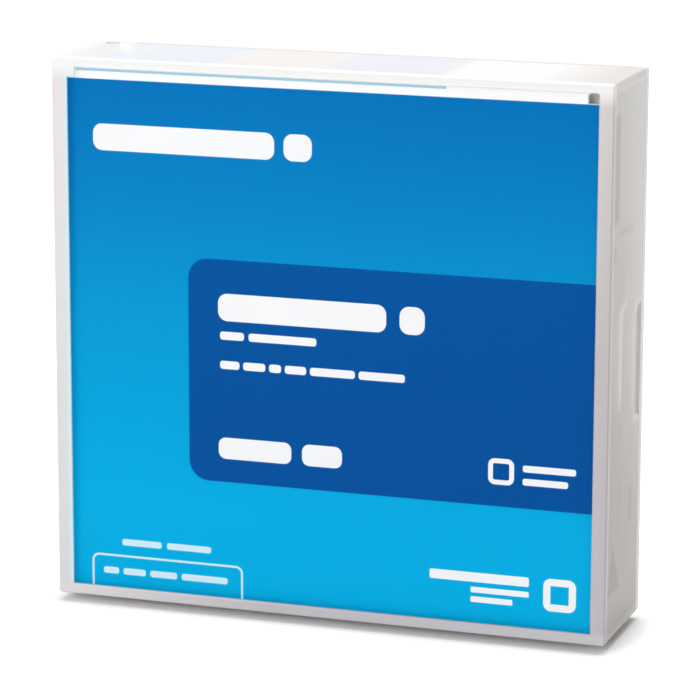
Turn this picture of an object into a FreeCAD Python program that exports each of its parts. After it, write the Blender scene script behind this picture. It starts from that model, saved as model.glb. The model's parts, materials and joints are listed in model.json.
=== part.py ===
import FreeCAD, Part
import math
import os
import re
import Sketcher

# A data tape cartridge standing in its hinged storage case.
# Millimetres. X runs to the right, Y to the back and Z up. The origin is under the middle of the closed case.
# The reel and the tape set the cartridge's size, and the cartridge sets the case's.

SIZES = {
    # tape and reel, whose axis runs from front to back
    "tape_width": "12.65",
    "tape_gap": "0.1",
    "tape_margin": "1.35",
    "flange_radius": "48.2",
    "flange_thickness": "1",
    "hub_radius": "22",
    "hub_wall": "2",
    "hub_floor": "1.5",
    "drive_teeth": "24",
    "drive_ring_inside": "15",
    "drive_ring_outside": "19",
    "drive_ring_height": "2.15",
    "drive_tooth_depth": "1.2",
    "drive_groove_share": "0.8",
    "plate_thickness": "1",
    "plate_inside": "4.5",
    "plate_edge_gap": "0.5",
    # reel brake and the pad that lifts it
    "brake_teeth": "12",
    "brake_ring_inside": "11",
    "brake_ring_outside": "14",
    "brake_tooth_depth": "1.2",
    "brake_groove_share": "0.92",
    "brake_mesh": "0.7",
    "brake_plate": "1.15",
    "brake_sleeve_wall": "2.2",
    "brake_sleeve_height": "6",
    "brake_travel": "2",
    "post_radius": "3",
    "post_gap": "0.3",
    "post_key_width": "1.6",
    "post_key_reach": "1.4",
    "post_length": "10.5",
    "pad_gap": "0.05",
    "pad_edge_gap": "0.6",
    "leg_half": "1.25",
    "leg_circle": "8.4",
    "leg_gap": "0.3",
    "leg_stand_out": "0.25",
    "brake_wire": "0.4",
    "brake_spring_gap": "0.4",
    "brake_spring_turns": "4",
    # cartridge shells
    "face_wall": "1.9",
    "shell_wall": "1.5",
    "door_side_wall": "1",
    "reel_front_gap": "1.1",
    "reel_back_gap": "1.75",
    "reel_side_gap": "1.3",
    "reel_low_gap": "0.8",
    "reel_high_gap": "5.2",
    "upper_shell_depth": "10.75",
    "shell_corner": "2",
    "shell_edge": "0.7",
    "shell_chamfer": "10",
    "drive_opening_gap": "1",
    "grip_from_top": "25.3",
    "grip_pitch": "3.4",
    "grip_groove": "1.7",
    "grip_depth": "0.5",
    "grip_count": "7",
    "grip_margin": "1.2",
    "label_depth": "0.4",
    "label_edge": "1.6",
    "label_side": "5",
    "label_end": "21",
    "face_recess_side": "14",
    "face_recess_top": "9",
    "face_recess_height": "36",
    "locator_half": "2.3",
    "locator_depth": "1",
    "locator_side": "9",
    "locator_height": "31",
    # screws and their bosses
    "screw_radius": "0.9",
    "screw_head_radius": "1.9",
    "screw_head_height": "1.2",
    "screw_length": "11",
    "screw_gap": "0.1",
    "screw_seat_depth": "5",
    "boss_half": "2.5",
    "boss_side": "6",
    "boss_top": "5.7",
    "boss_low": "6.7",
    "boss_low_right_side": "11",
    "boss_low_left_side": "18",
    "boss_low_left": "5",
    # leader pin, its clips and the door in front of it
    "pin_radius": "1.2",
    "pin_side": "8.5",
    "pin_height": "8.5",
    "pin_end_gap": "0.1",
    "clip_thickness": "1.2",
    "clip_width": "4.4",
    "clip_reach": "2.4",
    "tape_end_thickness": "0.12",
    "mouth_low": "3.2",
    "mouth_height": "15",
    "mouth_margin": "1.2",
    "door_thickness": "0.8",
    "door_gap": "0.1",
    "door_overlap": "1.2",
    "door_travel": "17.5",
    "rail_thickness": "0.8",
    "rail_height": "1.2",
    "rail_gap": "0.2",
    "door_arm": "2",
    "door_spring_radius": "0.8",
    "door_wire": "0.2",
    "door_spring_length": "36",
    "door_spring_turns": "8",
    "door_spring_from_back": "5.1",
    "stop_thickness": "1.2",
    "stop_reach": "2",
    # write protect tab and memory chip
    "tab_width": "6",
    "tab_depth": "3.4",
    "tab_travel": "4",
    "tab_gap": "0.3",
    "tab_flange": "1.2",
    "tab_flange_thickness": "1.1",
    "tab_fit": "0.05",
    "tab_side": "10.7",
    "tab_from_seam": "0.9",
    "tab_ledge": "1.1",
    "chip_width": "10",
    "chip_height": "10",
    "chip_thickness": "0.8",
    "chip_side": "10",
    "chip_top": "4.7",
    "chip_rib": "0.8",
    "chip_rib_gap": "0.1",
    # storage case
    "case_wall": "1.5",
    "case_corner": "0.6",
    "case_edge": "0.25",
    "rim_depth": "3",
    "seam_gap": "0.2",
    "side_room": "6.5",
    "front_room": "2.25",
    "rest_height": "0.75",
    "rest_half": "3.5",
    "rest_inset": "13",
    "cradle_lift": "0.5",
    "cradle_wall": "1.3",
    "cradle_gap": "0.4",
    "cradle_top_gap": "0.3",
    "cradle_top_room": "1.2",
    "cradle_reach": "12",
    "cradle_post": "17",
    "cradle_rib": "15",
    "hinge_radius": "4",
    "hinge_wall": "1.5",
    "hinge_end_gap": "0.2",
    "hinge_swing_gap": "0.4",
    "hinge_pin_radius": "1.5",
    "hinge_pin_gap": "0.05",
    "hinge_pin_inset": "0.1",
    "thumb_middle": "54",
    "thumb_height": "24",
    "thumb_width": "5",
    "thumb_slant": "2",
    "thumb_depth": "0.5",
    "latch_gap": "1.3",
    "latch_wall": "1.2",
    "latch_height": "12",
    "latch_low": "18",
    "latch_high": "83",
    "latch_reach": "10.25",
    "latch_bump": "0.3",
    "catch_bump": "0.6",
    "catch_height": "8",
    "bump_width": "1",
    "bump_step": "1.2",
    # printed card behind the lid's front
    "card_thickness": "0.3",
    "card_gap": "0.05",
    "card_side_gap": "1.35",
    "card_low_gap": "0.4",
    "card_shoulder_drop": "2.8",
    "card_shoulder_left": "1.65",
    "card_shoulder_right": "2.85",
    "card_top_gap": "0.65",
    "flap_width": "78.85",
    "flap_depth": "20",
    "flap_notch": "3.5",
    "flap_notch_depth": "2.8",
    "card_tab_gap": "0.2",
    "card_tab_depth": "1.75",
    "card_tab_width": "2.3",
    "card_tab_height": "2.2",
    "card_tab_corner": "0.7",
    "card_foot_width": "6",
    "card_foot_height": "2",
    "card_foot_side": "28",
    "card_foot_gap": "0.15",
    "card_foot_thickness": "0.9",
}

PLACES = {
    "tape_radius": "flange_radius - tape_margin",
    "cartridge_width": "2 * (flange_radius + reel_side_gap + shell_wall)",
    "cartridge_length": "2 * (flange_radius + shell_wall) + reel_low_gap + reel_high_gap",
    "reel_depth": "2 * (flange_thickness + tape_gap) + tape_width",
    "cartridge_thickness": "2 * face_wall + reel_front_gap + reel_depth + reel_back_gap",
    # the case, around the cartridge
    "case_width": "cartridge_width + 2 * (side_room + case_wall)",
    "case_depth": "cartridge_thickness + front_room + rest_height + 2 * case_wall",
    "case_left": "-case_width / 2",
    "case_right": "case_width / 2",
    "case_front": "-case_depth / 2",
    "case_back": "case_depth / 2",
    "lid_left": "case_left + case_wall",
    "lid_right": "case_right - case_wall",
    "lid_face": "case_front + case_wall",
    "panel_face": "case_back - case_wall",
    "seam": "case_back - rim_depth",
    "rim_front": "seam + seam_gap",
    "cradle_low": "case_wall + cradle_lift",
    "cradle_high": "cartridge_high + cradle_top_gap + cradle_wall",
    "lid_top": "cradle_high + cradle_top_room",
    "case_height": "lid_top + case_wall",
    "cradle_front": "seam - cradle_reach",
    "cradle_side": "cartridge_width / 2 + cradle_gap",
    "hinge_x": "case_left + hinge_radius",
    "hinge_y": "case_back - hinge_radius",
    "hinge_low": "case_wall + hinge_end_gap",
    "hinge_high": "lid_top - hinge_end_gap",
    # the cartridge, standing on the cradle's floor and against the rests
    "cartridge_low": "cradle_low + cradle_wall",
    "cartridge_high": "cartridge_low + cartridge_length",
    "cartridge_left": "-cartridge_width / 2",
    "cartridge_right": "cartridge_width / 2",
    "cartridge_back": "panel_face - rest_height",
    "cartridge_front": "cartridge_back - cartridge_thickness",
    "shell_seam": "cartridge_front + upper_shell_depth",
    "inner_front": "cartridge_front + face_wall",
    "inner_back": "cartridge_back - face_wall",
    "inner_left": "cartridge_left + door_side_wall",
    "inner_right": "cartridge_right - shell_wall",
    "inner_low": "cartridge_low + shell_wall",
    "inner_high": "cartridge_high - shell_wall",
    # the reel inside it
    "reel_z": "inner_low + reel_low_gap + flange_radius",
    "upper_flange_front": "inner_front + reel_front_gap",
    "upper_flange_back": "upper_flange_front + flange_thickness",
    "tape_front": "upper_flange_back + tape_gap",
    "tape_back": "tape_front + tape_width",
    "floor_front": "tape_back + tape_gap",
    "lower_flange_back": "floor_front + flange_thickness",
    "floor_back": "floor_front + hub_floor",
    "drive_tip": "floor_back + drive_ring_height",
    "drive_opening_radius": "drive_ring_outside + drive_opening_gap",
    "brake_tip": "floor_front - brake_tooth_depth",
    "brake_reach": "brake_tip + brake_mesh",
    "brake_back": "brake_reach - brake_tooth_depth",
    "brake_front": "brake_back - brake_plate",
    "sleeve_inside": "post_radius + post_gap",
    "sleeve_outside": "sleeve_inside + brake_sleeve_wall",
    # leader pin and door
    "pin_x": "cartridge_left + pin_side",
    "pin_z": "cartridge_low + pin_height",
    "door_outside": "inner_left + door_gap",
    "door_inside": "door_outside + door_thickness",
    "door_low": "mouth_bottom - door_overlap",
    "door_high": "mouth_top + door_overlap",
    "mouth_bottom": "cartridge_low + mouth_low",
    "mouth_top": "mouth_bottom + mouth_height",
    "door_front": "inner_front + door_gap",
    "door_back": "inner_back - door_gap",
    "arm_high": "door_high + door_arm",
    "spring_high": "arm_high + door_spring_length",
    "spring_x": "door_outside + door_spring_radius + door_wire",
    "spring_y": "inner_back - door_spring_from_back",
    "rail_left": "door_inside + rail_gap",
    "rail_right": "rail_left + rail_thickness",
    "rail_high": "door_high + door_travel",
    # screws, low left, low right, top left and top right
    "screw_seat": "cartridge_back - screw_seat_depth",
    # write protect tab, in a window of the upper shell's top wall
    "window_right": "cartridge_right - tab_side + tab_travel + tab_gap",
    "window_left": "cartridge_right - tab_side - tab_width - tab_gap",
    "tab_right": "cartridge_right - tab_side",
    "tab_left": "cartridge_right - tab_side - tab_width",
    "tab_back": "shell_seam - tab_from_seam",
    "tab_front": "tab_back - tab_depth",
    "flange_top": "inner_high - tab_fit",
    "flange_bottom": "flange_top - tab_flange_thickness",
    # card
    "card_front": "lid_face + card_gap",
    "card_back": "card_front + card_thickness",
    "card_left": "lid_left + card_side_gap",
    "card_right": "lid_right - card_side_gap",
    "card_low": "case_wall + card_low_gap",
    "card_high": "lid_top - card_top_gap",
    "shoulder_z": "lid_top - card_shoulder_drop",
    # latch at the free end
    "latch_right": "lid_right - latch_gap",
    "latch_left": "latch_right - latch_wall",
    "latch_front": "panel_face - latch_reach - latch_wall",
}

document = FreeCAD.newDocument("tape_cartridge")
sizes = document.addObject("Spreadsheet::Sheet", "sizes")
for row, (alias, number) in enumerate(SIZES.items(), 1):
    sizes.set(f"A{row}", alias)
    sizes.set(f"B{row}", number)
    sizes.setAlias(f"B{row}", alias)
document.recompute()

nodes = {}


def formula(text):
    """The text with every named place written out and every named size read from the sheet."""

    def written_out(found):
        name = found.group(0)
        if name in PLACES:
            return "(" + formula(PLACES[name]) + ")"
        return "sizes." + name if name in SIZES else name

    return re.sub(r"[a-z_]+", written_out, text)


def number(text):
    """What a formula comes to now."""
    return float(sizes.evalExpression(formula(text)))


def bind(item, **formulas):
    """Ties properties to formulas. Two underscores in a name stand for a point."""
    for name, text in formulas.items():
        item.setExpression(name.replace("__", "."), formula(text))


def origin_item(body, role):
    """One of the body's own origin planes or axes."""
    return next(item for item in body.Origin.OriginFeatures if item.Role == role)


def draw_polygon(sketch, corners):
    """A closed outline, each corner held by its two formulas."""
    first = sketch.GeometryCount
    points = [FreeCAD.Vector(number(across), number(along), 0) for across, along in corners]
    count = len(points)
    for index, point in enumerate(points):
        sketch.addGeometry(Part.LineSegment(point, points[(index + 1) % count]), False)
    for index in range(count):
        following = first + (index + 1) % count
        sketch.addConstraint(Sketcher.Constraint("Coincident", first + index, 2, following, 1))
    for index, (across, along) in enumerate(corners):
        hold_point(sketch, first + index, 1, across, along)


def draw_circle(sketch, across, along, radius):
    """A circle, its centre and radius held by formulas."""
    index = sketch.GeometryCount
    centre = FreeCAD.Vector(number(across), number(along), 0)
    sketch.addGeometry(Part.Circle(centre, FreeCAD.Vector(0, 0, 1), number(radius)), False)
    hold_point(sketch, index, 3, across, along)
    held = sketch.addConstraint(Sketcher.Constraint("Radius", index, number(radius)))
    sketch.setExpression(f"Constraints[{held}]", formula(radius))


def hold_point(sketch, index, end, across, along):
    """Holds one point of a sketch from the sketch's origin."""
    for kind, text in (("DistanceX", across), ("DistanceY", along)):
        held = sketch.addConstraint(Sketcher.Constraint(kind, -1, 1, index, end, number(text)))
        sketch.setExpression(f"Constraints[{held}]", formula(text))


def new_sketch(body, name, plane, level, loops):
    """A sketch on an origin plane moved to a level. Three texts make a circle, and more a polygon."""
    sketch = body.newObject("Sketcher::SketchObject", name)
    sketch.AttachmentSupport = [(origin_item(body, plane), "")]
    sketch.MapMode = "FlatFace"
    sign = "-" if plane == "XZ_Plane" else ""
    bind(sketch, AttachmentOffset__Base__z=f"{sign}({level})")
    for loop in loops:
        if isinstance(loop[0], str):
            draw_circle(sketch, *loop)
        else:
            draw_polygon(sketch, loop)
    return sketch


def pad(body, name, plane, low, high, *loops):
    """Adds the loops' area to the body between two levels."""
    level = high if plane == "XZ_Plane" else low
    made = body.newObject("PartDesign::Pad", name)
    made.Profile = new_sketch(body, name + "_sketch", plane, level, loops)
    body.Tip = made
    bind(made, Length=f"({high}) - ({low})")
    return made


def pocket(body, name, plane, low, high, *loops):
    """Takes the loops' area from the body between two levels."""
    level = low if plane == "XZ_Plane" else high
    made = body.newObject("PartDesign::Pocket", name)
    made.Profile = new_sketch(body, name + "_sketch", plane, level, loops)
    body.Tip = made
    bind(made, Length=f"({high}) - ({low})")
    return made


def rectangle(left, right, low, high):
    return [(left, low), (right, low), (right, high), (left, high)]


def square(x, z, half):
    """Corners of a square about a point."""
    return rectangle(f"{x} - {half}", f"{x} + {half}", f"{z} - {half}", f"{z} + {half}")


def turned(label, outline, x="0", z="reel_z"):
    """A body turned about a front-to-back axis, from an outline of radius and Y."""
    body = new_body(label)
    sketch = new_sketch(body, label + "_outline", "XY_Plane", "0", [outline])
    made = body.newObject("PartDesign::Revolution", label + "_turned")
    made.Profile = sketch
    made.ReferenceAxis = (origin_item(body, "Y_Axis"), [""])
    made.Angle = 360
    body.Tip = made
    bind(body, Placement__Base__x=x, Placement__Base__z=z)
    return body


def new_body(label):
    body = document.addObject("PartDesign::Body", label)
    body.Label = label
    return body


def around(body, feature, count):
    """Repeats a feature around the body's front-to-back axis."""
    made = body.newObject("PartDesign::PolarPattern", feature.Name + "_around")
    made.Originals = [feature]
    made.Axis = (origin_item(body, "Y_Axis"), [""])
    made.Angle = 360
    made.Occurrences = count
    body.Tip = made


def dress_edges(body, kind, name, chosen):
    """A fillet or a chamfer on the edges of the body's present shape that the test chooses."""
    document.recompute()
    base = body.Tip
    edges = [f"Edge{index}" for index, edge in enumerate(base.Shape.Edges, 1) if chosen(edge)]
    made = body.newObject(kind, name)
    made.Base = (base, edges)
    body.Tip = made
    return made


def round_edges(body, name, radius, chosen):
    """Rounds the chosen edges."""
    bind(dress_edges(body, "PartDesign::Fillet", name, chosen), Radius=radius)


def bevel_edges(body, name, size, chosen):
    """Bevels the chosen edges."""
    bind(dress_edges(body, "PartDesign::Chamfer", name, chosen), Size=size)


def runs_along(edge, axis):
    """Whether a straight edge runs along an axis, 0, 1 or 2."""
    if not isinstance(edge.Curve, Part.Line):
        return False
    return abs(abs(edge.Curve.Direction[axis]) - 1) < 1e-6


def lies_at(edge, axis, level):
    """Whether every point of an edge has this coordinate."""
    box = edge.BoundBox
    low, high = ((box.XMin, box.XMax), (box.YMin, box.YMax), (box.ZMin, box.ZMax))[axis]
    return abs(low - level) < 1e-4 and abs(high - level) < 1e-4


def catch_span(low):
    """Lowest and highest Z of a latch's bump, and of the lid's catch beside it."""
    return f"{low} + (latch_height - catch_height) / 2", f"{low} + (latch_height + catch_height) / 2"


def case_tray():
    """The case's back half: panel, rim, hinge spine with its pins, cradle and latch ribs."""
    body = new_body("case_tray")
    spine = ("hinge_x", "hinge_y", "hinge_radius")
    pad(body, "spine", "XY_Plane", "hinge_low", "hinge_high", spine)
    bore = ("hinge_x", "hinge_y", "hinge_radius - hinge_wall")
    shaft = ("hinge_low + hinge_wall", "hinge_high - hinge_wall")
    pocket(body, "spine_bore", "XY_Plane", *shaft, bore)
    open_front = "case_back - 2 * hinge_radius - 1"
    open_side = rectangle("hinge_x", "hinge_x + hinge_radius + 1", open_front, "case_back + 1")
    pocket(body, "spine_open_side", "XY_Plane", *shaft, open_side)
    pin = ("hinge_x", "hinge_y", "hinge_pin_radius")
    pad(body, "low_pin", "XY_Plane", "hinge_pin_inset", "hinge_low", pin)
    pad(body, "high_pin", "XY_Plane", "hinge_high", "case_height - hinge_pin_inset", pin)
    rim_left = "hinge_x + hinge_radius + hinge_end_gap"
    panel = [
        ("hinge_x", "hinge_low"),
        (rim_left, "hinge_low"),
        (rim_left, "0"),
        ("case_right", "0"),
        ("case_right", "case_height"),
        (rim_left, "case_height"),
        (rim_left, "hinge_high"),
        ("hinge_x", "hinge_high"),
    ]
    pad(body, "panel", "XZ_Plane", "panel_face", "case_back", panel)
    rim = [
        (rim_left, "0"),
        ("case_right", "0"),
        ("case_right", "case_height"),
        (rim_left, "case_height"),
        (rim_left, "case_height - case_wall"),
        ("lid_right", "case_height - case_wall"),
        ("lid_right", "case_wall"),
        (rim_left, "case_wall"),
    ]
    pad(body, "rim", "XZ_Plane", "rim_front", "panel_face", rim)
    right = number("case_right")
    round_edges(body, "rim_corners", "case_corner", lambda e: runs_along(e, 1) and lies_at(e, 0, right))
    back = number("case_back")
    hinge = number("hinge_x + hinge_radius + hinge_end_gap")

    def panel_edge(edge):
        return lies_at(edge, 1, back) and edge.BoundBox.XMax > hinge + 1e-3

    bevel_edges(body, "panel_edges", "case_edge", panel_edge)
    cradle = ("cradle_front", "panel_face")
    cradle_edge = "(cradle_side + cradle_wall)"
    outside = rectangle(f"-{cradle_edge}", cradle_edge, "cradle_low", "cradle_high")
    inside = rectangle("-cradle_side", "cradle_side", "cartridge_low", "cradle_high - cradle_wall")
    pad(body, "cradle", "XZ_Plane", *cradle, outside)
    pocket(body, "cradle_inside", "XZ_Plane", *cradle, inside)
    gap_left, gap_right = "-cradle_side + cradle_post", "cradle_side - cradle_post"
    top_gap = rectangle(gap_left, gap_right, "reel_z", "cradle_high + 1")
    pocket(body, "cradle_top_gap", "XZ_Plane", *cradle, top_gap)
    side_far = f"{cradle_edge} + 1"
    rib_low, rib_high = "reel_z - cradle_rib", "reel_z + cradle_rib"
    post_low, post_high = "mouth_top + door_overlap", "cradle_high - cradle_post"
    sides = (
        rectangle(f"-({side_far})", "-cradle_side + 1", "cradle_low + cradle_wall", rib_low),
        rectangle(f"-({side_far})", "-cradle_side + 1", rib_high, post_high),
        rectangle("cradle_side - 1", side_far, post_low, rib_low),
        rectangle("cradle_side - 1", side_far, rib_high, post_high),
    )
    pocket(body, "cradle_side_gaps", "XZ_Plane", *cradle, *sides)
    rests = [
        square(f"{side} * (cartridge_width / 2 - rest_inset)", z, "rest_half")
        for side in ("-1", "1")
        for z in ("cartridge_low + rest_inset", "cartridge_high - rest_inset")
    ]
    pad(body, "rests", "XZ_Plane", "cartridge_back", "panel_face", *rests)
    ribs = [
        rectangle("latch_left", "latch_right", low, f"{low} + latch_height")
        for low in ("latch_low", "latch_high")
    ]
    pad(body, "latch_ribs", "XZ_Plane", "latch_front", "panel_face", *ribs)
    bumps = [
        rectangle("latch_right - latch_wall / 2", "latch_right + latch_bump", *catch_span(low))
        for low in ("latch_low", "latch_high")
    ]
    bump_front = "latch_front + latch_wall / 2"
    pad(body, "latch_bumps", "XZ_Plane", bump_front, f"{bump_front} + bump_width", *bumps)
    nodes["case_tray"] = body


def case_lid():
    """The case's front half: a five-sided box with two hinge ears, a thumb recess and the card's holders."""
    body = new_body("case_lid")
    outside = rectangle("case_left", "case_right", "0", "case_height")
    pad(body, "box", "XZ_Plane", "case_front", "seam", outside)
    round_edges(body, "box_corners", "case_corner", lambda e: runs_along(e, 1))
    front = number("case_front")
    bevel_edges(body, "box_edges", "case_edge", lambda e: lies_at(e, 1, front))
    ear = ("hinge_x", "hinge_y", "hinge_radius")
    pad(body, "low_ear", "XY_Plane", "0", "case_wall", ear)
    pad(body, "high_ear", "XY_Plane", "lid_top", "case_height", ear)
    inside = rectangle("lid_left", "lid_right", "case_wall", "lid_top")
    pocket(body, "inside", "XZ_Plane", "lid_face", "case_back + 1", inside)
    side_end = "hinge_y - hinge_radius + hinge_swing_gap"
    side = rectangle("case_left - 1", "lid_left + 1", "case_wall", "lid_top")
    pocket(body, "hinge_side_relief", "XZ_Plane", side_end, "case_back + 1", side)
    hole = ("hinge_x", "hinge_y", "hinge_pin_radius + hinge_pin_gap")
    pocket(body, "pin_holes", "XY_Plane", "-1", "case_height + 1", hole)
    thumb_low, thumb_high = "thumb_middle - thumb_height / 2", "thumb_middle + thumb_height / 2"
    thumb = [
        ("seam + 1", thumb_low),
        ("seam + 1", thumb_high),
        ("seam", thumb_high),
        ("seam - thumb_width", f"{thumb_high} - thumb_slant"),
        ("seam - thumb_width", f"{thumb_low} + thumb_slant"),
        ("seam", thumb_low),
    ]
    pocket(body, "thumb_recess", "YZ_Plane", "case_right - thumb_depth", "case_right + 1", thumb)
    catch_back = "latch_front + latch_wall / 2 + bump_step"
    catches = [
        rectangle("lid_right - catch_bump", "lid_right + case_wall / 2", *catch_span(low))
        for low in ("latch_low", "latch_high")
    ]
    pad(body, "catches", "XZ_Plane", catch_back, f"{catch_back} + bump_width", *catches)
    tab_left = "(card_right - card_shoulder_right + card_tab_gap)"
    tab_low = "(shoulder_z + card_tab_gap)"
    tab = [
        (tab_left, tab_low),
        (f"{tab_left} + card_tab_width", tab_low),
        (f"{tab_left} + card_tab_width", f"{tab_low} + card_tab_height - card_tab_corner"),
        (f"{tab_left} + card_tab_width - card_tab_corner", f"{tab_low} + card_tab_height"),
        (f"{tab_left} + card_tab_corner", f"{tab_low} + card_tab_height"),
        (tab_left, f"{tab_low} + card_tab_height - card_tab_corner"),
    ]
    pad(body, "card_tab", "XZ_Plane", "lid_face - case_wall / 2", "lid_face + card_tab_depth", tab)
    foot_high = "case_wall + card_foot_height"
    feet = [
        rectangle(f"{x} - card_foot_width / 2", f"{x} + card_foot_width / 2", "case_wall / 2", foot_high)
        for x in ("-card_foot_side", "card_foot_side")
    ]
    foot_front = "card_back + card_foot_gap"
    pad(body, "card_feet", "XZ_Plane", foot_front, f"{foot_front} + card_foot_thickness", *feet)
    nodes["case_lid"] = body


def insert_card():
    """The folded card: a face behind the lid's front, and a flap under its top wall."""
    body = new_body("insert_card")
    face = [
        ("card_left", "card_low"),
        ("card_right", "card_low"),
        ("card_right", "shoulder_z"),
        ("card_right - card_shoulder_right", "shoulder_z"),
        ("card_right - card_shoulder_right", "card_high"),
        ("card_left + card_shoulder_left", "card_high"),
        ("card_left + card_shoulder_left", "shoulder_z"),
        ("card_left", "shoulder_z"),
    ]
    pad(body, "face", "XZ_Plane", "card_front", "card_back", face)
    flap_left = "card_left + card_shoulder_left"
    flap_right = f"{flap_left} + flap_width"
    flap_back = "card_front + flap_depth"
    flap = [
        (flap_left, "card_front"),
        (flap_right, "card_front"),
        (flap_right, flap_back),
        (f"{flap_left} + flap_notch", flap_back),
        (f"{flap_left} + flap_notch", f"{flap_back} - flap_notch_depth"),
        (flap_left, f"{flap_back} - flap_notch_depth"),
    ]
    pad(body, "flap", "XY_Plane", "card_high - card_thickness", "card_high", flap)
    nodes["insert_card"] = body


def shell_outline(grow):
    """The cartridge's outline, with its cut corner low on the right, grown outwards by a formula."""
    half_turn = "tan(22.5)"
    return [
        (f"cartridge_left - ({grow})", f"cartridge_low - ({grow})"),
        (f"cartridge_right - shell_chamfer + ({grow}) * {half_turn}", f"cartridge_low - ({grow})"),
        (f"cartridge_right + ({grow})", f"cartridge_low + shell_chamfer - ({grow}) * {half_turn}"),
        (f"cartridge_right + ({grow})", f"cartridge_high + ({grow})"),
        (f"cartridge_left - ({grow})", f"cartridge_high + ({grow})"),
    ]


def screw_places():
    """Where the four screws stand, as X and Z."""
    return [
        ("cartridge_left + boss_low_left_side", "cartridge_low + boss_low_left"),
        ("cartridge_right - boss_low_right_side", "cartridge_low + boss_low"),
        ("cartridge_left + boss_side", "cartridge_high - boss_top"),
        ("cartridge_right - boss_side", "cartridge_high - boss_top"),
    ]


def shell_body(label, low, high, inside_low, inside_high, face):
    """What both shells share: outline, hollow, rounded edges, mouth, label recess and grip grooves."""
    body = new_body(label)
    pad(body, label + "_block", "XZ_Plane", low, high, shell_outline("0"))
    foot = number("cartridge_low + shell_chamfer + 1")

    def corner(edge):
        box = edge.BoundBox
        return runs_along(edge, 1) and not (box.XMax > 0 and box.ZMax < foot)

    round_edges(body, label + "_corners", "shell_corner", corner)
    level = number(face)
    bevel_edges(body, label + "_edges", "shell_edge", lambda e: lies_at(e, 1, level))
    hollow = shell_outline("-shell_wall")
    hollow[0] = ("inner_left", hollow[0][1])
    hollow[-1] = ("inner_left", hollow[-1][1])
    pocket(body, label + "_hollow", "XZ_Plane", inside_low, inside_high, hollow)
    mouth = rectangle("cartridge_left - 1", "inner_left + 1", "mouth_bottom", "mouth_top")
    mouth_low = "shell_seam" if face == "cartridge_back" else f"{inside_low} + mouth_margin"
    mouth_high = f"{inside_high} - mouth_margin" if face == "cartridge_back" else "shell_seam"
    pocket(body, label + "_mouth", "XZ_Plane", mouth_low, mouth_high, mouth)
    grip_low = "cartridge_high - grip_from_top"
    grip_high = f"{grip_low} + grip_groove"
    grooves = [
        rectangle("cartridge_left - 1", "cartridge_left + grip_depth", grip_low, grip_high),
        rectangle("cartridge_right - grip_depth", "cartridge_right + 1", grip_low, grip_high),
    ]
    grip_start = f"{low} + grip_margin" if face == "cartridge_front" else low
    grip_end = f"{high} - grip_margin" if face == "cartridge_back" else high
    groove = pocket(body, label + "_grip", "XZ_Plane", grip_start, grip_end, *grooves)
    made = body.newObject("PartDesign::LinearPattern", label + "_grips")
    made.Originals = [groove]
    made.Direction = (origin_item(body, "Z_Axis"), [""])
    body.Tip = made
    bind(made, Length="grip_pitch * (grip_count - 1)", Occurrences="grip_count")
    label_low = f"{low} + label_edge" if face == "cartridge_front" else low
    label_high = f"{high} - label_edge" if face == "cartridge_back" else high
    label_left, label_right = "cartridge_left + label_side", "cartridge_right - label_end"
    recess = rectangle(label_left, label_right, "cartridge_high - label_depth", "cartridge_high + 1")
    pocket(body, label + "_label_recess", "XZ_Plane", label_low, label_high, recess)
    return body


def upper_shell():
    """The shell towards the lid: it carries the brake's post and the write protect tab's ledge."""
    outside = ("cartridge_front", "shell_seam")
    body = shell_body("upper_shell", *outside, "inner_front", "shell_seam", "cartridge_front")
    recess = rectangle(
        "cartridge_left + face_recess_side",
        "cartridge_right - face_recess_side",
        "cartridge_high - face_recess_top - face_recess_height",
        "cartridge_high - face_recess_top",
    )
    pocket(body, "face_recess", "XZ_Plane", "cartridge_front - 1", "cartridge_front + label_depth", recess)
    rail = rectangle("rail_left", "rail_right", "inner_low - shell_wall / 2", "rail_high")
    pad(body, "upper_rail", "XZ_Plane", "inner_front - face_wall / 2", "inner_front + rail_height", rail)
    post_end = "inner_front + post_length"
    post = ("0", "reel_z", "post_radius")
    pad(body, "brake_post", "XZ_Plane", "inner_front - face_wall / 2", post_end, post)
    reach = "(post_radius + post_key_reach)"
    key = rectangle("-post_key_width / 2", "post_key_width / 2", f"reel_z - {reach}", f"reel_z + {reach}")
    pad(body, "brake_post_key", "XZ_Plane", "inner_front - face_wall / 2", post_end, key)
    bosses = [square(x, z, "boss_half") for x, z in screw_places()]
    pad(body, "upper_bosses", "XZ_Plane", "inner_front - face_wall / 2", "shell_seam", *bosses)
    window = rectangle("window_left", "window_right", "inner_high - 1", "cartridge_high + 1")
    pocket(body, "tab_window", "XZ_Plane", "tab_front - tab_gap", "tab_back + tab_gap", window)
    ledge_top = "flange_bottom - tab_fit"
    ledge = rectangle("window_left - tab_flange", "inner_right", f"{ledge_top} - tab_ledge", ledge_top)
    ledge_back = "tab_back + tab_gap + tab_fit"
    pad(body, "tab_ledge", "XZ_Plane", "inner_front - face_wall / 2", ledge_back, ledge)
    pilots = [(x, z, "screw_radius + screw_gap / 2") for x, z in screw_places()]
    pilot_front = "screw_seat - screw_length - screw_gap"
    pocket(body, "screw_pilots", "XZ_Plane", pilot_front, "shell_seam", *pilots)
    nodes["upper_shell"] = body


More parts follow.
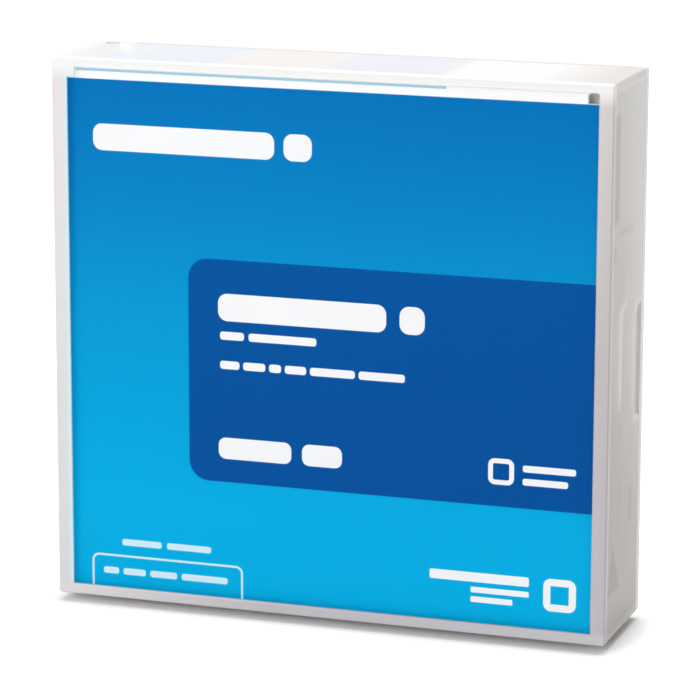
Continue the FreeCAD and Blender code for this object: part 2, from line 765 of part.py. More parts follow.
def lower_shell():
    """The shell towards the case's back, with the drive's opening, the spring's stop and the chip's ribs."""
    outside = ("shell_seam", "cartridge_back")
    body = shell_body("lower_shell", *outside, "shell_seam", "inner_back", "cartridge_back")
    opening = ("0", "reel_z", "drive_opening_radius")
    pocket(body, "drive_opening", "XZ_Plane", "inner_back - 1", "cartridge_back + 1", opening)
    rail = rectangle("rail_left", "rail_right", "inner_low - shell_wall / 2", "rail_high")
    pad(body, "lower_rail", "XZ_Plane", "inner_back - rail_height", "inner_back + face_wall / 2", rail)
    stop_front = "spring_y - door_spring_radius - door_wire"
    stop_high = "spring_high + stop_thickness"
    stop = rectangle("inner_left - door_side_wall / 2", "inner_left + stop_reach", "spring_high", stop_high)
    pad(body, "spring_stop", "XZ_Plane", stop_front, "inner_back + face_wall / 2", stop)
    bosses = [square(x, z, "boss_half") for x, z in screw_places()]
    pad(body, "lower_bosses", "XZ_Plane", "shell_seam", "inner_back + face_wall / 2", *bosses)
    seats = [(x, z, "screw_head_radius + screw_gap") for x, z in screw_places()]
    pocket(body, "screw_seats", "XZ_Plane", "screw_seat", "cartridge_back + 1", *seats)
    holes = [(x, z, "screw_radius + screw_gap") for x, z in screw_places()]
    pocket(body, "screw_holes", "XZ_Plane", "shell_seam - 1", "screw_seat + 1", *holes)
    locators = [
        square(x, "cartridge_low + locator_height", "locator_half")
        for x in ("cartridge_left + locator_side", "cartridge_right - locator_side")
    ]
    pocket(body, "locators", "XZ_Plane", "cartridge_back - locator_depth", "cartridge_back + 1", *locators)
    chip_left, chip_high = "cartridge_left + chip_side", "cartridge_high - chip_top"
    rib_front = "inner_back - 2 * chip_thickness"
    rib_left = f"{chip_left} + chip_width / 4"
    ribs = [
        rectangle(rib_left, f"{rib_left} + chip_width / 2", low, f"{low} + chip_rib")
        for low in (
            f"{chip_high} + chip_rib_gap",
            f"{chip_high} - chip_height - chip_rib_gap - chip_rib",
        )
    ]
    pad(body, "chip_ribs", "XZ_Plane", rib_front, "inner_back + face_wall / 2", *ribs)
    nodes["lower_shell"] = body


def shell_screws():
    """Four screws that hold the shells together, each with its head on a seat in the lower shell."""
    shank = rectangle("0", "screw_radius", "screw_seat - screw_length", "screw_seat")
    head = [
        (f"screw_head_radius * cos({angle})", f"screw_head_radius * sin({angle})")
        for angle in range(0, 360, 60)
    ]
    screws = []
    for index, (x, z) in enumerate(screw_places(), 1):
        screw = turned(f"shell_screw_{index}", shank, x, z)
        pad(screw, f"screw_head_{index}", "XZ_Plane", "screw_seat", "screw_seat + screw_head_height", head)
        screws.append(screw)
    group = document.addObject("Part::Compound", "shell_screws")
    group.Links = screws
    nodes["shell_screws"] = group


def leader_parts():
    """The pin on the tape's free end, the two clips that park it, and the tape between pin and pack."""
    pin = rectangle("0", "pin_radius", "inner_front + pin_end_gap", "inner_back - pin_end_gap")
    nodes["leader_pin"] = turned("leader_pin", pin, "pin_x", "pin_z")
    clips = []
    for name, front in (("front", "inner_front"), ("back", "inner_back - clip_thickness")):
        clip = new_body(f"pin_clip_{name}")
        clip_low, clip_high = "pin_z - clip_width / 2", "pin_z + clip_width / 2"
        block = rectangle("pin_x - clip_reach", "pin_x + clip_reach", clip_low, clip_high)
        back = f"{front} + clip_thickness"
        pad(clip, f"clip_block_{name}", "XZ_Plane", front, back, block)
        hole = ("pin_x", "pin_z", "pin_radius + tape_gap / 2")
        pocket(clip, f"clip_hole_{name}", "XZ_Plane", f"{front} - 1", f"{back} + 1", hole)
        throat_low, throat_high = "pin_z - pin_radius * 0.8", "pin_z + pin_radius * 0.8"
        throat = rectangle("pin_x - clip_reach - 1", "pin_x", throat_low, throat_high)
        pocket(clip, f"clip_throat_{name}", "XZ_Plane", f"{front} - 1", f"{back} + 1", throat)
        clips.append(clip)
    group = document.addObject("Part::Compound", "leader_pin_clips")
    group.Links = clips
    nodes["leader_pin_clips"] = group
    # a strip that lies on the pin and on the pack, along the line that touches both on the door's side
    strip = document.addObject("Part::Box", "tape_end")
    away = "sqrt(pin_x * pin_x + (reel_z - pin_z) * (reel_z - pin_z))"
    rise = "(tape_radius - pin_radius)"
    bearing = f"(atan2(reel_z - pin_z; -pin_x) + asin({rise} / {away}))"
    bind(
        strip,
        Length=f"sqrt({away} * {away} - {rise} * {rise})",
        Width="tape_width",
        Height="tape_end_thickness",
        Placement__Rotation__Axis__x="0",
        Placement__Rotation__Axis__y="-1",
        Placement__Rotation__Axis__z="0",
        Placement__Rotation__Angle=bearing,
        Placement__Base__x=f"pin_x - pin_radius * sin({bearing})",
        Placement__Base__y="tape_front",
        Placement__Base__z=f"pin_z + pin_radius * cos({bearing})",
    )
    nodes["tape_end"] = strip


def door():
    """The sliding door inside the mouth, with the arm that its spring pushes on."""
    body = new_body("door")
    plate = rectangle("door_outside", "door_inside", "door_low", "door_high")
    pad(body, "door_plate", "XZ_Plane", "door_front", "door_back", plate)
    arm_inside = "door_outside + 2 * (door_spring_radius + door_wire)"
    arm = rectangle("door_outside", arm_inside, "door_high", "arm_high")
    half = "(door_spring_radius + 2 * door_wire)"
    pad(body, "door_arm_block", "XZ_Plane", f"spring_y - {half}", f"spring_y + {half}", arm)
    nodes["door"] = body


def coil(label, centre, axis, length, radius, wire, turns):
    """A spring's wire wound round an axis, as short straight lengths with flat sides."""
    steps_per_turn = 9
    sides = 5
    start = FreeCAD.Vector(*centre)
    along = FreeCAD.Vector(*axis)
    first = FreeCAD.Vector(1, 0, 0)
    second = along.cross(first)
    rise = (length - 2 * wire) / (2 * math.pi * turns)
    rings = []
    for step in range(int(turns) * steps_per_turn + 1):
        turn = 2 * math.pi * step / steps_per_turn
        outwards = first * math.cos(turn) + second * math.sin(turn)
        forwards = second * math.cos(turn) - first * math.sin(turn)
        heading = (forwards * radius + along * rise).normalize()
        across = heading.cross(outwards)
        middle = start + outwards * radius + along * (wire + rise * turn)
        ring = []
        for side in range(sides):
            angle = 2 * math.pi * side / sides
            ring.append(middle + outwards * (wire * math.cos(angle)) + across * (wire * math.sin(angle)))
        rings.append(ring)
    corners = [rings[0], rings[-1]]
    for ring, following in zip(rings, rings[1:]):
        for side in range(sides):
            beside = (side + 1) % sides
            corners.append([ring[side], ring[beside], following[beside]])
            corners.append([ring[side], following[beside], following[side]])
    faces = [Part.Face(Part.makePolygon([*face, face[0]])) for face in corners]
    solid = Part.makeSolid(Part.makeShell(faces))
    if solid.Volume < 0:
        solid.reverse()
    made = document.addObject("Part::Feature", label)
    made.Shape = solid
    made.Placement = FreeCAD.Placement()
    nodes[label] = made


def springs():
    """The door's closing spring and the brake's spring."""
    coil(
        "door_spring",
        (number("spring_x"), number("spring_y"), number("arm_high")),
        (0, 0, 1),
        number("door_spring_length"),
        number("door_spring_radius"),
        number("door_wire"),
        number("door_spring_turns"),
    )
    coil(
        "brake_spring",
        (0, number("inner_front"), number("reel_z")),
        (0, 1, 0),
        number("brake_front - inner_front"),
        number("sleeve_outside + brake_spring_gap + brake_wire"),
        number("brake_wire"),
        number("brake_spring_turns"),
    )


def write_protect_tab():
    """The tab that slides in its window at the label edge, held by a wider foot."""
    body = new_body("write_protect_tab")
    head = rectangle("tab_left", "tab_right", "flange_bottom", "cartridge_high - label_depth")
    pad(body, "tab_head", "XZ_Plane", "tab_front", "tab_back", head)
    foot_left, foot_right = "tab_left - tab_flange", "tab_right + tab_flange"
    foot = rectangle(foot_left, foot_right, "flange_bottom", "flange_top")
    foot_edge = "(tab_gap + tab_fit)"
    pad(body, "tab_foot", "XZ_Plane", f"tab_front - 2 * {foot_edge}", f"tab_back + {foot_edge}", foot)
    groove_low = "cartridge_high - 2 * label_depth"
    grooves = [
        rectangle(left, f"{left} + tab_width / 8", groove_low, "cartridge_high")
        for left in ("tab_left + tab_width / 4", "tab_left + tab_width * 5 / 8")
    ]
    pocket(body, "tab_grooves", "XZ_Plane", "tab_front - 1", "tab_back + 1", *grooves)
    nodes["write_protect_tab"] = body


def memory_chip():
    """The memory chip's small board, flat on the lower shell between two ribs."""
    board = document.addObject("Part::Box", "memory_chip")
    bind(board, Length="chip_width", Width="chip_thickness", Height="chip_height")
    bind(
        board,
        Placement__Base__x="cartridge_left + chip_side",
        Placement__Base__y="inner_back - chip_thickness",
        Placement__Base__z="cartridge_high - chip_top - chip_height",
    )
    nodes["memory_chip"] = board


def radial_grooves(label, count, share, tip, outside, depth, into, turn):
    """V grooves that run out from the axis, wider and deeper with the radius, as a face gear's gaps."""
    reach = outside * 1.05
    deep = depth * reach / outside
    half = math.pi * share / count
    apex = FreeCAD.Vector(0, tip, 0)
    one_side = FreeCAD.Vector(reach * math.cos(half), tip, reach * math.sin(half))
    other_side = FreeCAD.Vector(reach * math.cos(half), tip, -reach * math.sin(half))
    bottom = FreeCAD.Vector(reach, tip + into * deep, 0)
    faces = [
        Part.Face(Part.makePolygon([*corners, corners[0]]))
        for corners in (
            (apex, one_side, other_side),
            (apex, one_side, bottom),
            (apex, other_side, bottom),
            (one_side, other_side, bottom),
        )
    ]
    groove = Part.makeSolid(Part.makeShell(faces))
    if groove.Volume < 0:
        groove.reverse()
    copies = []
    for index in range(count):
        copy = groove.copy()
        copy.rotate(FreeCAD.Vector(), FreeCAD.Vector(0, 1, 0), math.degrees(turn) + 360 * index / count)
        copies.append(copy)
    made = document.addObject("Part::Feature", label)
    made.Shape = Part.makeCompound(copies)
    made.Placement = FreeCAD.Placement(FreeCAD.Vector(0, 0, number("reel_z")), FreeCAD.Rotation())
    return made


def toothed(label, body, tools):
    """A body with its face gears cut."""
    result = body
    for index, tool in enumerate(tools, 1):
        made = document.addObject("Part::Cut", label if index == len(tools) else f"{label}_cut_{index}")
        made.Base = result
        made.Tool = tool
        result = made
    result.Label = label
    nodes[label] = result


def reel_hub():
    """Hub, floor and lower flange in one piece, with the drive's face gear outside and the brake's inside."""
    inside = "hub_radius - hub_wall"
    outline = [
        ("0", "floor_front"),
        ("brake_ring_inside", "floor_front"),
        ("brake_ring_inside", "brake_tip"),
        ("brake_ring_outside", "brake_tip"),
        ("brake_ring_outside", "floor_front"),
        (inside, "floor_front"),
        (inside, "upper_flange_back"),
        ("hub_radius", "upper_flange_back"),
        ("hub_radius", "floor_front"),
        ("flange_radius", "floor_front"),
        ("flange_radius", "lower_flange_back"),
        ("hub_radius", "lower_flange_back"),
        ("hub_radius", "floor_back"),
        ("drive_ring_outside", "floor_back"),
        ("drive_ring_outside", "drive_tip"),
        ("drive_ring_inside", "drive_tip"),
        ("drive_ring_inside", "floor_back"),
        ("0", "floor_back"),
    ]
    body = turned("reel_hub_blank", outline)
    hole = square("leg_circle", "0", "(leg_half + leg_gap)")
    around(body, pocket(body, "hub_leg_hole", "XZ_Plane", "floor_front - 1", "floor_back + 1", hole), 3)
    drive = radial_grooves(
        "drive_gaps",
        round(number("drive_teeth")),
        number("drive_groove_share"),
        number("drive_tip"),
        number("drive_ring_outside"),
        number("drive_tooth_depth"),
        -1,
        0,
    )
    toothed("reel_hub", body, [drive, brake_gaps("hub_brake_gaps", "brake_tip", 1, 0)])


def brake_gaps(label, tip, into, turn):
    """The gaps of either brake gear: the two are alike, and half a tooth apart."""
    return radial_grooves(
        label,
        round(number("brake_teeth")),
        number("brake_groove_share"),
        number(tip),
        number("brake_ring_outside"),
        number("brake_tooth_depth"),
        into,
        turn,
    )


def reel_parts():
    """The upper flange, the wound tape and the steel plate that the drive's magnet holds."""
    rim = "hub_radius - hub_wall"
    plate_back = "floor_back + plate_thickness"
    for label, inside, outside, front, back in (
        ("upper_flange", rim, "flange_radius", "upper_flange_front", "upper_flange_back"),
        ("tape_pack", "hub_radius", "tape_radius", "tape_front", "tape_back"),
        ("drive_plate", "plate_inside", "drive_ring_inside - plate_edge_gap", "floor_back", plate_back),
    ):
        nodes[label] = turned(label, rectangle(inside, outside, front, back))
    plate = nodes["drive_plate"]
    hole = square("leg_circle", "0", "(leg_half + leg_gap)")
    through = ("floor_back - 1", f"{plate_back} + 1")
    around(plate, pocket(plate, "plate_leg_hole", "XZ_Plane", *through, hole), 3)


def brake_button():
    """The toothed brake on its sleeve, which slides on the post and its key."""
    sleeve_front = "brake_front - brake_sleeve_height"
    outline = [
        ("sleeve_inside", sleeve_front),
        ("sleeve_outside", sleeve_front),
        ("sleeve_outside", "brake_front"),
        ("brake_ring_outside", "brake_front"),
        ("brake_ring_outside", "brake_reach"),
        ("brake_ring_inside", "brake_reach"),
        ("brake_ring_inside", "brake_back"),
        ("sleeve_inside", "brake_back"),
    ]
    body = turned("brake_blank", outline)
    reach = "(post_radius + post_key_reach + post_gap)"
    half = "(post_key_width / 2 + post_gap)"
    slot = rectangle(f"-{half}", half, f"-{reach}", reach)
    pocket(body, "brake_key_slot", "XZ_Plane", f"{sleeve_front} - 1", "brake_back + 1", slot)
    half_tooth = math.pi / round(number("brake_teeth"))
    toothed("brake_button", body, [brake_gaps("button_gaps", "brake_reach", -1, half_tooth)])


def release_pad():
    """The pad under the brake, whose three legs reach the drive through the hub's floor."""
    front, back = "brake_back + pad_gap", "floor_front - pad_gap"
    outline = rectangle("0", "brake_ring_inside - pad_edge_gap", front, back)
    body = turned("release_pad", outline)
    leg = square("leg_circle", "0", "leg_half")
    leg_back = "floor_back + plate_thickness + leg_stand_out"
    around(body, pad(body, "pad_leg", "XZ_Plane", f"{back} - 0.5 * hub_floor", leg_back, leg), 3)
    nodes["release_pad"] = body


def check():
    """Stops if any object failed, or a cut took nothing, or a sub-part has no sound solid."""
    for item in document.Objects:
        if "Invalid" in item.State or "Error" in item.State:
            raise RuntimeError(f"{item.Label} failed: {item.State}")
        if item.TypeId == "PartDesign::Pocket":
            if item.Shape.Volume >= item.BaseFeature.Shape.Volume - 1e-6:
                raise RuntimeError(f"{item.Label} cut nothing")
    for name, item in nodes.items():
        shape = item.Shape
        if shape.isNull() or not shape.isValid() or not shape.Solids:
            raise RuntimeError(f"{name} is not a sound solid")


for build in (
    case_tray,
    case_lid,
    insert_card,
    upper_shell,
    lower_shell,
    shell_screws,
    leader_parts,
    door,
    springs,
    write_protect_tab,
    memory_chip,
    reel_hub,
    reel_parts,
    brake_button,
    release_pad,
):
    build()
document.recompute()
check()
os.makedirs("parts", exist_ok=True)
for name, item in nodes.items():
    item.Shape.exportStep(f"parts/{name}.step")
print(f"{len(nodes)} sub-parts written")
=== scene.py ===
"""Looks of a data tape cartridge in its hinged storage case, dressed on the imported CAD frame."""

import json
import math

import bpy
from mathutils import Matrix, Vector


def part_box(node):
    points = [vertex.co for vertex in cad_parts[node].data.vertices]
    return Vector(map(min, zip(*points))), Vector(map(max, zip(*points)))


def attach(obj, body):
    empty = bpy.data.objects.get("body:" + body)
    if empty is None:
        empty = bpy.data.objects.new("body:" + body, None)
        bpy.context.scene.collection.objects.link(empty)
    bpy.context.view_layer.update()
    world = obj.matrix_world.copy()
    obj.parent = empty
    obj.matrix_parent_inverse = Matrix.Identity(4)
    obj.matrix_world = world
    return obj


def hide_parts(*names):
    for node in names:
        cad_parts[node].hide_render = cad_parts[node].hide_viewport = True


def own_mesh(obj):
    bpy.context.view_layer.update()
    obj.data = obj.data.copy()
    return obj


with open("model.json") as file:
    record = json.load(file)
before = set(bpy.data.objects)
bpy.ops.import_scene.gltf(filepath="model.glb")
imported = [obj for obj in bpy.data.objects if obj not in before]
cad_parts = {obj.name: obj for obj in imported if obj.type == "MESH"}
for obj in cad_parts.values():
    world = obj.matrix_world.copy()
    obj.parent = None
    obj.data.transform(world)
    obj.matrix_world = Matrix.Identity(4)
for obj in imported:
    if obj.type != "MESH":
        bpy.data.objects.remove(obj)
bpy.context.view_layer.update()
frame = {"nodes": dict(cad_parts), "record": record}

MM = 0.001

# The camera that took the photograph, worked out from the case's corners.
CAMERA_AZIMUTH = 18.73
CAMERA_ELEVATION = 12.55
CAMERA_ROLL = 0.158
CAMERA_DISTANCE = 0.7157
CAMERA_VIEW_ANGLE = 11.215
CAMERA_TARGET_ACROSS = 5.28 * MM
CAMERA_TARGET_ABOVE_MIDDLE = 0.22 * MM

lid_low, lid_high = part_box("case_lid")
tray_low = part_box("case_tray")[0]
card_low, card_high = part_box("insert_card")
hub_low, hub_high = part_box("reel_hub")
WALL = 1.5 * MM
# From the case's outer faces, how deep the shades of one wall reach, so that both its skins have them.
SKIN_REACH = WALL + 0.1 * MM
CARD_SHOULDER = card_high.z - 2.15 * MM
SHOULDER_LEFT = 1.65 * MM
SHOULDER_RIGHT = 2.85 * MM
CARD_HIDDEN_EDGE = 0.55 * MM
FLAP_END = card_high.x - 31.8 * MM
INK = 0.012 * MM
CARD_GLOSS = 0.02
REEL_Z = (hub_low.z + hub_high.z) / 2
# A spring's solid has nine straight lengths to a turn, so across it measures 1 + cos(20 degrees) radii.
SPRING_BOX_SHARE = 1 + math.cos(math.radians(20))
WIRE_STEPS = 28
WIRE_SIDES = 10
FLOOR_HALF = 3.0
FLOOR_GAP = 1.8 * MM
SHADOW_REACH = 8 * MM
FLOOR_GLOW = 0.45
WORLD_LIGHT = 0.5
WHITE = (1.0, 1.0, 1.0, 1.0)


# ---------------------------------------------------------------- colours and node graphs


def rgb(red, green, blue):
    """A colour given as screen values from 0 to 255, in linear light."""
    linear = []
    for value in (red, green, blue):
        share = value / 255
        linear.append(share / 12.92 if share <= 0.04045 else ((share + 0.055) / 1.055) ** 2.4)
    return (*linear, 1.0)


class Graph:
    """A material's node tree, with short calls for the nodes that are used here."""

    def __init__(self, name):
        self.material = bpy.data.materials.new(name)
        self.material.use_nodes = True
        self.tree = self.material.node_tree
        self.tree.nodes.clear()
        self.output = self.tree.nodes.new("ShaderNodeOutputMaterial")
        self.coordinates = None

    def put(self, socket, value):
        """Links or sets one input."""
        if isinstance(value, bpy.types.NodeSocket):
            self.tree.links.new(value, socket)
        elif value is not None:
            socket.default_value = value

    def node(self, kind, settings=None, **inputs):
        """Adds a node. An input is named by its socket, or by its number after an underscore."""
        made = self.tree.nodes.new("ShaderNode" + kind)
        for name, value in (settings or {}).items():
            setattr(made, name, value)
        for name, value in inputs.items():
            key = int(name[1:]) if name[0] == "_" else name.replace("_", " ")
            self.put(made.inputs[key], value)
        return made

    def math(self, operation, first, second=None):
        """One sum, product or other Math node."""
        return self.node("Math", {"operation": operation}, _0=first, _1=second).outputs[0]

    def position(self):
        """The point's place in the row frame at rest, as separate X, Y and Z."""
        if self.coordinates is None:
            self.coordinates = self.node("TexCoord").outputs["Object"]
            self.axes = self.node("SeparateXYZ", _0=self.coordinates).outputs
        return self.axes

    def above(self, value, edge, soft=0.05 * MM):
        """0 below an edge and 1 above it, with a narrow ramp."""
        made = self.node("MapRange", Value=value)
        made.inputs["From Min"].default_value = edge - soft
        made.inputs["From Max"].default_value = edge + soft
        return made.outputs[0]

    def below(self, value, edge, soft=0.05 * MM):
        """1 below an edge and 0 above it."""
        return self.math("SUBTRACT", 1.0, self.above(value, edge, soft))

    def between(self, value, low, high, soft=0.05 * MM):
        """1 between two edges."""
        return self.math("MULTIPLY", self.above(value, low, soft), self.below(value, high, soft))

    def times(self, *values):
        """The product of two or more values."""
        result = values[0]
        for value in values[1:]:
            result = self.math("MULTIPLY", result, value)
        return result

    def blend(self, share, first, second):
        """A mix of two numbers or two colours."""
        colours = isinstance(first, tuple) or getattr(first, "type", "") == "RGBA"
        kind = "RGBA" if colours else "FLOAT"
        made = self.node("Mix", {"data_type": kind, "clamp_factor": True})
        places = (6, 7) if colours else (2, 3)
        self.put(made.inputs[0], share)
        self.put(made.inputs[places[0]], first)
        self.put(made.inputs[places[1]], second)
        return made.outputs[2 if colours else 0]

    def noise(self, size, detail=2.0, stretch=(1, 1, 1)):
        """Noise with features of about a size in metres."""
        self.position()
        scaled = self.node("Mapping", _0=self.coordinates)
        scaled.inputs["Scale"].default_value = stretch
        made = self.node("TexNoise", Vector=scaled.outputs[0])
        made.inputs["Scale"].default_value = 1 / size
        made.inputs["Detail"].default_value = detail
        return made.outputs["Fac"]

    def ramp(self, value, stops):
        """A colour ramp through (place, colour) stops."""
        made = self.node("ValToRGB", Fac=value)
        elements = made.color_ramp.elements
        while len(elements) < len(stops):
            elements.new(0.5)
        for element, (place, colour) in zip(elements, stops):
            element.position = place
            element.color = colour
        return made.outputs["Color"]

    def spread(self, value, low, high):
        """A value that runs from 0 to 1, spread over another range."""
        made = self.node("MapRange", Value=value)
        made.inputs["To Min"].default_value = low
        made.inputs["To Max"].default_value = high
        return made.outputs[0]

    def bump(self, height, distance):
        """A normal from a height and its depth in metres."""
        made = self.node("Bump", Height=height)
        made.inputs["Distance"].default_value = distance
        return made.outputs[0]

    def principled(self, colour, roughness, normal=None, **sockets):
        """A Principled shader. The named sockets are set to plain values."""
        made = self.node("BsdfPrincipled")
        self.put(made.inputs["Base Color"], colour)
        self.put(made.inputs["Roughness"], roughness)
        self.put(made.inputs["Normal"], normal)
        for name, value in sockets.items():
            made.inputs[name.replace("_", " ")].default_value = value
        return made.outputs[0]

    def finish(self, shader):
        """Puts the shader on the surface and gives the material."""
        self.tree.links.new(shader, self.output.inputs["Surface"])
        return self.material


# The clear field's outline on the front wall's inner and outer skin, in order: left, right, low,
# shoulder, left and right of the upper part, high, and softness of the edge.
INNER_FIELD = (
    card_low.x,
    card_high.x - CARD_HIDDEN_EDGE,
    card_low.z,
    CARD_SHOULDER,
    card_low.x + SHOULDER_LEFT,
    card_high.x - SHOULDER_RIGHT,
    card_high.z,
    0.04 * MM,
)
OUTER_FIELD = (
    card_low.x + 0.5 * MM,
    card_high.x - 0.05 * MM,
    card_low.z + 0.35 * MM,
    CARD_SHOULDER + 0.4 * MM,
    card_low.x + SHOULDER_LEFT + 0.5 * MM,
    card_high.x - 0.05 * MM,
    card_high.z + 0.36 * MM,
    0.12 * MM,
)
# How much of what lies behind a skin its milkiness covers.
TOP_COVER = 0.88
FLAP_OUTER_COVER = 0.78
FLAP_INNER_COVER = 0.05
FRONT_COVER = 0.95
# The share of the front's cover that lamps pass, so that the card's edges aren't in its shadow.
LIGHT_PASSED = 0.8
# Colours by height, from the case's floor to its top: painted shade, darker towards the floor and lighter
# towards the top.
WALL_PAINTED_SHADES = [(0.0, rgb(224, 220, 217)), (0.45, rgb(234, 230, 227)), (1.0, rgb(243, 241, 239))]
# The side walls' painted shade, darker low down and lighter high up.
SIDE_PAINTED_SHADES = [
    (0.0, rgb(210, 206, 196)),
    (0.12, rgb(208, 202, 197)),
    (0.35, rgb(216, 208, 205)),
    (0.6, rgb(232, 222, 219)),
    (0.85, rgb(249, 241, 237)),
    (1.0, rgb(255, 253, 250)),
]
# Where the flap's printed fields tint the top wall: left and right in mm, and the colour.
FLAP_TINTS = (
    (-50.0, -24.0, rgb(236, 240, 250)),
    (-22.0, -3.0, rgb(250, 243, 237)),
    (-1.0, 23.0, rgb(237, 240, 249)),
)
# Patches of the side wall, in mm: front, back, low, high, and the edges' softness along Y and Z.
THUMB_RECESS = (5.6, 11.0, 41.5, 66.5, 0.3, 0.6)
# Painted shades of the dark cartridge behind the side wall: a patch and its strength.
CARTRIDGE_PAINTED_SHADES = (
    ((-12.3, -8.4, 85.0, 106.5, 1.1, 0.9), 0.42),
    ((-12.3, -9.6, 77.4, 80.8, 1.0, 0.9), 0.3),
    ((-10.6, 3.4, 82.2, 83.0, 1.5, 0.7), 0.3),
    ((3.6, 5.8, 21.2, 28.8, 0.7, 0.8), 0.32),
)
# The lowest painted shade is a triangle: where its point is along Y, its low and high ends and its two
# slopes.
CORNER_PAINTED_SHADE = (-8.5 * MM, 9.6 * MM, 19.5 * MM, 1.8, 2.6)
CORNER_SHADE_STRENGTH = 0.5


# ---------------------------------------------------------------- materials


def moulded(name, colour, roughness=0.45, grain=0.35 * MM, depth=0.01 * MM, tint=0.06):
    """Moulded plastic: a fine eroded grain, slight flow shades and a little wear of the gloss."""
    g = Graph(name)
    flow = g.noise(14 * MM, detail=3.0)
    grains = g.noise(grain, detail=3.0)
    darker = tuple(channel * (1 - tint) for channel in colour[:3]) + (1.0,)
    lighter = tuple(min(1.0, channel * (1 + tint)) for channel in colour[:3]) + (1.0,)
    shade = g.blend(flow, darker, lighter)
    gloss = g.spread(g.noise(5 * MM), roughness - 0.05, roughness + 0.07)
    return g.finish(g.principled(shade, gloss, g.bump(grains, depth)))


def steel(name, colour, roughness=0.28, along=(1, 1, 1), line=0.08 * MM):
    """Drawn or turned steel with fine lines along one direction."""
    g = Graph(name)
    lines = g.noise(line, detail=2.0, stretch=along)
    stain = g.noise(3 * MM, detail=3.0)
    shade = g.blend(stain, tuple(0.86 * channel for channel in colour[:3]) + (1.0,), colour)
    gloss = g.spread(lines, roughness - 0.08, roughness + 0.12)
    return g.finish(g.principled(shade, gloss, g.bump(lines, 0.004 * MM), Metallic=1.0))


def frosted_walls(name, window):
    """Milky moulded plastic, denser at the case's edges, with painted shade towards the floor and a painted
    highlight along the edges. With a window it is the lid's.
    """
    g = Graph(name)
    x, y, z = g.position()
    across = g.math("ABSOLUTE", x)
    edge = near_edges(g, across, y, z)
    clouds = g.noise(22 * MM, detail=3.0)
    height = g.math("DIVIDE", z, lid_high.z)
    # Painted shade: darker towards the floor, lighter towards the top.
    body = g.ramp(height, WALL_PAINTED_SHADES)
    body = g.blend(g.math("MULTIPLY", clouds, 0.2), body, rgb(226, 221, 217))
    # Painted highlight: lighter near the case's edges, where the cover is also denser.
    colour = g.blend(g.math("MULTIPLY", edge, 0.3), body, rgb(246, 245, 244))
    cover = g.blend(edge, g.spread(clouds, 0.58, 0.68), 0.8)
    if window:
        colour, cover = lid_walls(g, colour, cover, height)
    texture = g.noise(0.5 * MM, detail=2.0)
    ripple = g.noise(9 * MM, detail=1.0)
    normal = g.bump(ripple, 0.03 * MM)
    skin = g.principled(colour, g.spread(texture, 0.34, 0.44), normal)
    see_through = g.node("BsdfTransparent", Color=WHITE).outputs[0]
    walls = g.node("MixShader", _0=cover, _1=see_through, _2=skin).outputs[0]
    sheen = g.node("BsdfGlossy", Roughness=0.12, Normal=normal).outputs[0]
    glance = g.node("Fresnel", IOR=1.06, Normal=normal).outputs[0]
    return g.finish(g.node("MixShader", _0=glance, _1=walls, _2=sheen).outputs[0])


def lid_walls(g, colour, cover, height):
    """The lid's own shades: painted light and shade on its sides and front, tints on its top. Its front is
    clear over the card and lets light through to it.
    """
    x, y, z = g.position()
    sideways = g.above(g.math("ABSOLUTE", x), lid_high.x - SKIN_REACH)
    colour = g.blend(sideways, colour, paint_side_shading(g, y, z, height))
    at_top = g.above(z, lid_high.z - SKIN_REACH)
    colour = g.blend(at_top, colour, top_shades(g, x))
    cover = g.blend(at_top, cover, TOP_COVER)
    over_flap = g.times(at_top, g.between(x, card_low.x, FLAP_END, 1.5 * MM))
    upper_skin = g.above(z, lid_high.z - WALL / 2)
    cover = g.blend(over_flap, cover, g.blend(upper_skin, FLAP_INNER_COVER, FLAP_OUTER_COVER))
    in_front = g.below(y, lid_low.y + SKIN_REACH)
    outer_skin = g.below(y, lid_low.y + WALL / 2)
    colour = g.blend(in_front, colour, paint_front_shading(g, x, z, height))
    cover = g.blend(in_front, cover, FRONT_COVER)
    clear = g.blend(outer_skin, over_card(g, x, z, INNER_FIELD), over_card(g, x, z, OUTER_FIELD))
    cover = g.times(cover, g.math("SUBTRACT", 1.0, g.times(in_front, clear)))
    to_light = g.node("LightPath").outputs["Is Shadow Ray"]
    cover = g.times(cover, g.math("SUBTRACT", 1.0, g.times(in_front, to_light, LIGHT_PASSED)))
    return cartridge_painted_shade(g, colour, x, y, z), cover


def paint_side_shading(g, y, z, height):
    """The side walls' warm grey, with faint upright streaks, and painted light: lighter high up, towards the
    back and in the thumb recess.
    """
    shade = g.ramp(height, SIDE_PAINTED_SHADES)
    streaks = g.noise(1.6 * MM, detail=2.0, stretch=(1, 1, 0.04))
    shade = g.blend(g.spread(streaks, 0.0, 0.18), shade, rgb(160, 152, 150))
    # Painted light: the upper wall lightens towards the back.
    backwards = g.times(g.above(y, 4 * MM, 7 * MM), g.above(height, 0.35, 0.2))
    shade = g.blend(g.times(backwards, 0.65), shade, rgb(254, 252, 248))
    # Painted light that lifts the shade in the thumb recess.
    recess = side_patch(g, y, z, THUMB_RECESS)
    return g.blend(g.times(recess, 0.6), shade, rgb(255, 250, 246))


def side_patch(g, y, z, patch):
    """1 on a soft-edged rectangle of a side wall."""
    front, back, low, high, soft_y, soft_z = (value * MM for value in patch)
    return g.times(g.between(y, front, back, soft_y), g.between(z, low, high, soft_z))


def share_across(g, x):
    """0 at the lid's left face and 1 at its right face."""
    return g.math("DIVIDE", g.math("SUBTRACT", x, lid_low.x), lid_high.x - lid_low.x)


def top_shades(g, x):
    """The top wall's white, a little warmer at its two ends."""
    left, middle, right = rgb(238, 237, 237), rgb(246, 246, 245), rgb(224, 216, 214)
    stops = [(0.0, left), (0.1, middle), (0.86, middle), (0.97, right), (1.0, right)]
    shade = g.ramp(share_across(g, x), stops)
    for start, end, tint in FLAP_TINTS:
        shade = g.blend(g.between(x, start * MM, end * MM, 1.2 * MM), shade, tint)
    return shade


